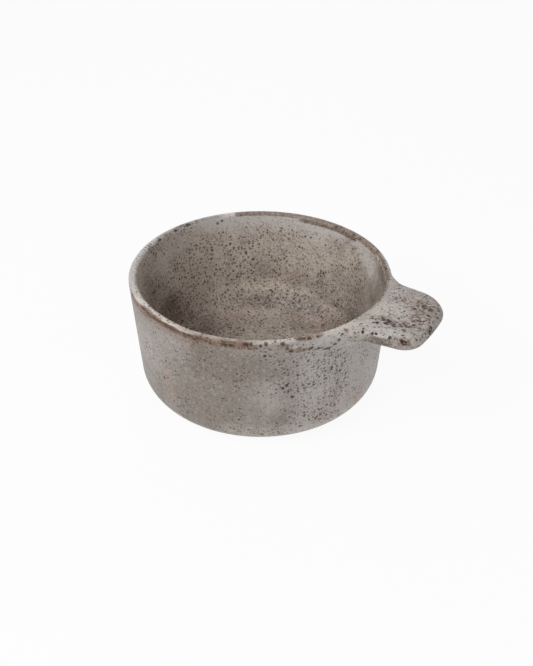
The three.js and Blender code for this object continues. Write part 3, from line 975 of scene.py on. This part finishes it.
def make_glaze():
    """Satin stoneware glaze with iron specks, thick cool pools and edges that break to brown"""
    material, nodes, shader = new_material("speckled_glaze")
    at = GlazePlaces(nodes)
    rise, times, most = nodes.rise, nodes.times, nodes.most

    runs = nodes.noise(nodes.vector("MULTIPLY", at.warped, RUN_STRETCH), *RUNS)[0]
    rings = nodes.noise(nodes.vector("MULTIPLY", at.place, RING_STRETCH), *RINGS)[0]
    mottle, knots, grain = (nodes.noise(at.place, *kind)[0] for kind in (MOTTLE, KNOTS, GRAIN))
    outer = outer_tones(nodes, at, mottle, runs, rings)
    inner, inner_cool = inner_tones(nodes, at, mottle)
    colour = nodes.blend(at.inside, outer, inner)
    colour, iron = rim_marks(nodes, at, colour, mottle, knots)
    colour, crawled = tab_marks(nodes, at, colour, mottle, knots)

    thick = times(most(inner_cool, at.blots(CALM)), at.inside)
    specks = iron_specks(nodes, at, thick)
    grainy = nodes.math("MULTIPLY_ADD", nodes.less(at.inside, times(thick, 0.5)), 0.2, 0.25)
    grainy = nodes.math("MULTIPLY_ADD", at.tab, 0.2, grainy)
    colour = nodes.blend(times(rise(grain, 0.5, 0.68), grainy), colour, UMBER)
    colour = nodes.blend(times(rise(grain, 0.5, 0.34), grainy), colour, CREAM)
    colour = nodes.blend(specks, colour, IRON)

    # The standing face of the foot is wiped clean of glaze
    bare = rise(at.z, *BARE_FOOT)
    colour = nodes.blend(bare, colour, nodes.blend(rise(grain, 0.4, 0.6), CLAY, TAUPE))
    nodes.feed(shader, "Base Color", colour)

    rough = nodes.add("MapRange", mottle, 0.3, 0.7, *SATIN)[0]
    rough = nodes.math("MULTIPLY_ADD", most(specks, iron), SPECK_ROUGHNESS, rough)
    rough = nodes.math("MULTIPLY_ADD", bare, CLAY_ROUGHNESS, rough)
    nodes.feed(shader, "Roughness", rough)
    sheen = nodes.math("MULTIPLY_ADD", most(specks, iron, crawled), SPECK_SHEEN, SHEEN)
    nodes.feed(shader, "Specular IOR Level", sheen)

    # Relief: throwing rings, orange peel and the crawled ridges on the tab
    relief = nodes.math("MULTIPLY_ADD", rings, 0.5, times(knots, 0.35))
    relief = nodes.math("MULTIPLY_ADD", crawled, -0.25, relief)
    relief = nodes.math("MULTIPLY_ADD", grain, 0.2, relief)
    bump = nodes.add("Bump", RELIEF_STRENGTH, RELIEF_HEIGHT, 1.0, relief)[0]
    nodes.feed(shader, "Normal", bump)
    return material


def whiteness(nodes, lit, glow):
    """A strength that is lit for the light on the object, and glow for what is seen"""
    path = nodes.tree.nodes.new("ShaderNodeLightPath").outputs
    seen = nodes.most(path["Is Camera Ray"], path["Is Glossy Ray"], path["Is Transmission Ray"])
    return nodes.add("MapRange", seen, 0.0, 1.0, lit, glow)[0]


def make_floor():
    """White table that keeps the object's shadow"""
    mesh = bpy.data.meshes.new("table")
    signs = ((-1, -1), (1, -1), (1, 1), (-1, 1))
    corners = [(x * TABLE_HALF, y * TABLE_HALF, 0) for x, y in signs]
    mesh.from_pydata(corners, [], [(0, 1, 2, 3)])
    table = add_object("table", mesh)
    material, nodes, shader = new_material("white_table")
    shader.inputs["Base Color"].default_value = (TABLE_WHITE, TABLE_WHITE, TABLE_WHITE, 1)
    shader.inputs["Roughness"].default_value = TABLE_ROUGHNESS
    shader.inputs["Specular IOR Level"].default_value = 0
    glow = nodes.add("Emission", (1.0, 1.0, 1.0, 1.0), 1.0)[0]
    share = whiteness(nodes, 0.0, TABLE_GLOW)
    surface = nodes.add("MixShader", share, shader.outputs[0], glow)[0]
    nodes.feed(nodes.tree.nodes["Material Output"], "Surface", surface)
    mesh.materials.append(material)


def make_camera():
    """The camera that took the photograph"""
    camera = add_object("camera", bpy.data.cameras.new("camera"))
    back = towards(CAMERA_BEARING, CAMERA_ELEVATION)
    camera.location = AIM + back * CAMERA_DISTANCE
    camera.rotation_euler = back.to_track_quat("Z", "Y").to_euler()
    long_side = max(PICTURE)
    camera.data.sensor_fit = "AUTO"
    camera.data.sensor_width = SENSOR_WIDTH
    camera.data.lens = SENSOR_WIDTH * FOCAL_PIXELS / long_side
    camera.data.shift_x = (PICTURE[0] / 2 - AIM_PIXEL[0]) / long_side
    camera.data.shift_y = (AIM_PIXEL[1] - PICTURE[1] / 2) / long_side
    bpy.context.scene.camera = camera


def make_lights():
    """A white surrounding and three soft lamps"""
    world = bpy.data.worlds.new("studio")
    bpy.context.scene.world = world
    world.use_nodes = True
    nodes = Nodes(world.node_tree)
    background = nodes.tree.nodes["Background"]
    background.inputs["Color"].default_value = (1, 1, 1, 1)
    strength = whiteness(nodes, WORLD_STRENGTH, 1.0)
    nodes.feed(background, "Strength", strength)
    for name, (bearing, elevation, distance, size, watts) in LAMPS.items():
        light = bpy.data.lights.new(name, "AREA")
        light.shape = "DISK"
        light.size = size
        light.energy = watts
        lamp = add_object(name, light)
        away = towards(bearing, elevation)
        lamp.location = AXIS + away * distance
        lamp.rotation_euler = away.to_track_quat("Z", "Y").to_euler()


bpy.context.scene.view_settings.view_transform = "Standard"
make_camera()
make_lights()
make_floor()
make_ramekin(make_glaze())
